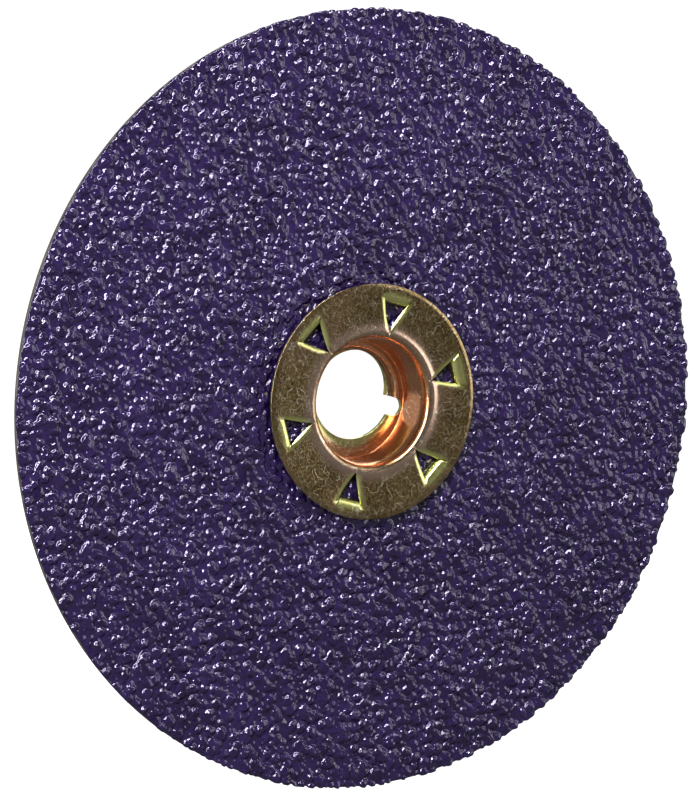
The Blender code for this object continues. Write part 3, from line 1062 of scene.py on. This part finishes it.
def make_world():
    """A white surround, as the camera sees it, that lights the part less from in front than from behind."""
    world = bpy.data.worlds.new("studio")
    world.use_nodes = True
    bpy.context.scene.world = world
    tree = world.node_tree
    background = tree.nodes["Background"]
    background.inputs["Color"].default_value = (1, 1, 1, 1)
    split = tree.nodes.new("ShaderNodeSeparateXYZ")
    tree.links.new(tree.nodes.new("ShaderNodeTexCoord").outputs["Generated"], split.inputs[0])
    around = tree.nodes.new("ShaderNodeMapRange")
    around.interpolation_type = "SMOOTHSTEP"
    for socket, number in (("From Min", WORLD_TURN[0]), ("From Max", WORLD_TURN[1]),
                           ("To Min", WORLD_FRONT), ("To Max", WORLD_BACK)):
        around.inputs[socket].default_value = number
    tree.links.new(split.outputs["Y"], around.inputs["Value"])
    path = tree.nodes.new("ShaderNodeLightPath")
    mix = tree.nodes.new("ShaderNodeMix")
    mix.inputs[3].default_value = WORLD_SEEN
    tree.links.new(path.outputs["Is Camera Ray"], mix.inputs[0])
    tree.links.new(around.outputs["Result"], mix.inputs[2])
    tree.links.new(mix.outputs[0], background.inputs["Strength"])


def seen_from(azimuth, elevation):
    """Direction from the origin. Azimuth 0 is in front of the disc, and positive is to the right."""
    return Vector((math.sin(azimuth) * math.cos(elevation), -math.cos(azimuth) * math.cos(elevation),
                   math.sin(elevation)))


def soft_light(name, azimuth, elevation, distance, width, height, power, roll=0):
    """A rectangular light aimed at the origin. Roll turns it about the line to the origin."""
    towards = seen_from(math.radians(azimuth), math.radians(elevation))
    light = bpy.data.lights.new(name, "AREA")
    light.shape = "RECTANGLE"
    light.size, light.size_y = width, height
    light.energy = power
    lamp = bpy.data.objects.new(name, light)
    lamp.location = towards * distance
    facing = towards.to_track_quat("Z", "Y") @ Quaternion((0, 0, 1), math.radians(roll))
    lamp.rotation_euler = facing.to_euler()
    bpy.context.collection.objects.link(lamp)


CAMERA_AZIMUTH = math.radians(-31.08)
CAMERA_ELEVATION = math.radians(5.86)
CAMERA_DISTANCE = 0.680
CAMERA_ASIDE = -3.35 * MM
CAMERA_ABOVE = 0.19 * MM
CAMERA_TARGET = Vector((0.0, -1.9 * MM, 0.0))
CAMERA_LENS = 188.2
# Azimuth, elevation and distance; width and height in metres; power in watts; roll.
LIGHTS = {
    "key": (-38, 34, 0.40, 0.72, 0.032, 4.9, 50),
    "side": (62, 6, 0.6, 0.40, 0.30, 0.95),
    "front": (18, 5, 0.9, 0.70, 0.50, 0.16),
    "left": (-75, 0, 0.6, 0.15, 0.15, 0.16),
    "top": (50, 32, 0.6, 0.22, 0.22, 0.28),
    "back": (-146, 6, 0.6, 0.40, 0.50, 0.28),
    "rear": (140, 30, 0.9, 0.50, 0.40, 4.0),
}


def make_camera():
    """A long lens to the left of the disc's axis and a little above it."""
    back = seen_from(CAMERA_AZIMUTH, CAMERA_ELEVATION)
    right = Vector((math.cos(CAMERA_AZIMUTH), math.sin(CAMERA_AZIMUTH), 0.0))
    up = back.cross(right)
    data = bpy.data.cameras.new("camera")
    data.sensor_fit = "VERTICAL"
    data.sensor_height = 36.0
    data.lens = CAMERA_LENS
    data.clip_start = 0.01
    camera = bpy.data.objects.new("camera", data)
    place = CAMERA_TARGET + back * CAMERA_DISTANCE + right * CAMERA_ASIDE + up * CAMERA_ABOVE
    camera.matrix_world = Matrix.Translation(place) @ Matrix((right, up, back)).transposed().to_4x4()
    bpy.context.collection.objects.link(camera)
    bpy.context.scene.camera = camera


make_coated_grain(GrainField(GRAIN_SEED))
make_ring("backing", BACKING_REAR, BACKING_FRONT, fibre_material(), "fibre_backing",
          rear_lip=True)
make_ring("make_coat_film", BOND_REAR, BOND_FRONT, bond_material(), "make_coat")
make_hub()
make_stage()
make_world()
for light_name, light_values in LIGHTS.items():
    soft_light(light_name, *light_values)
make_camera()
bpy.context.scene.view_settings.view_transform = "Standard"
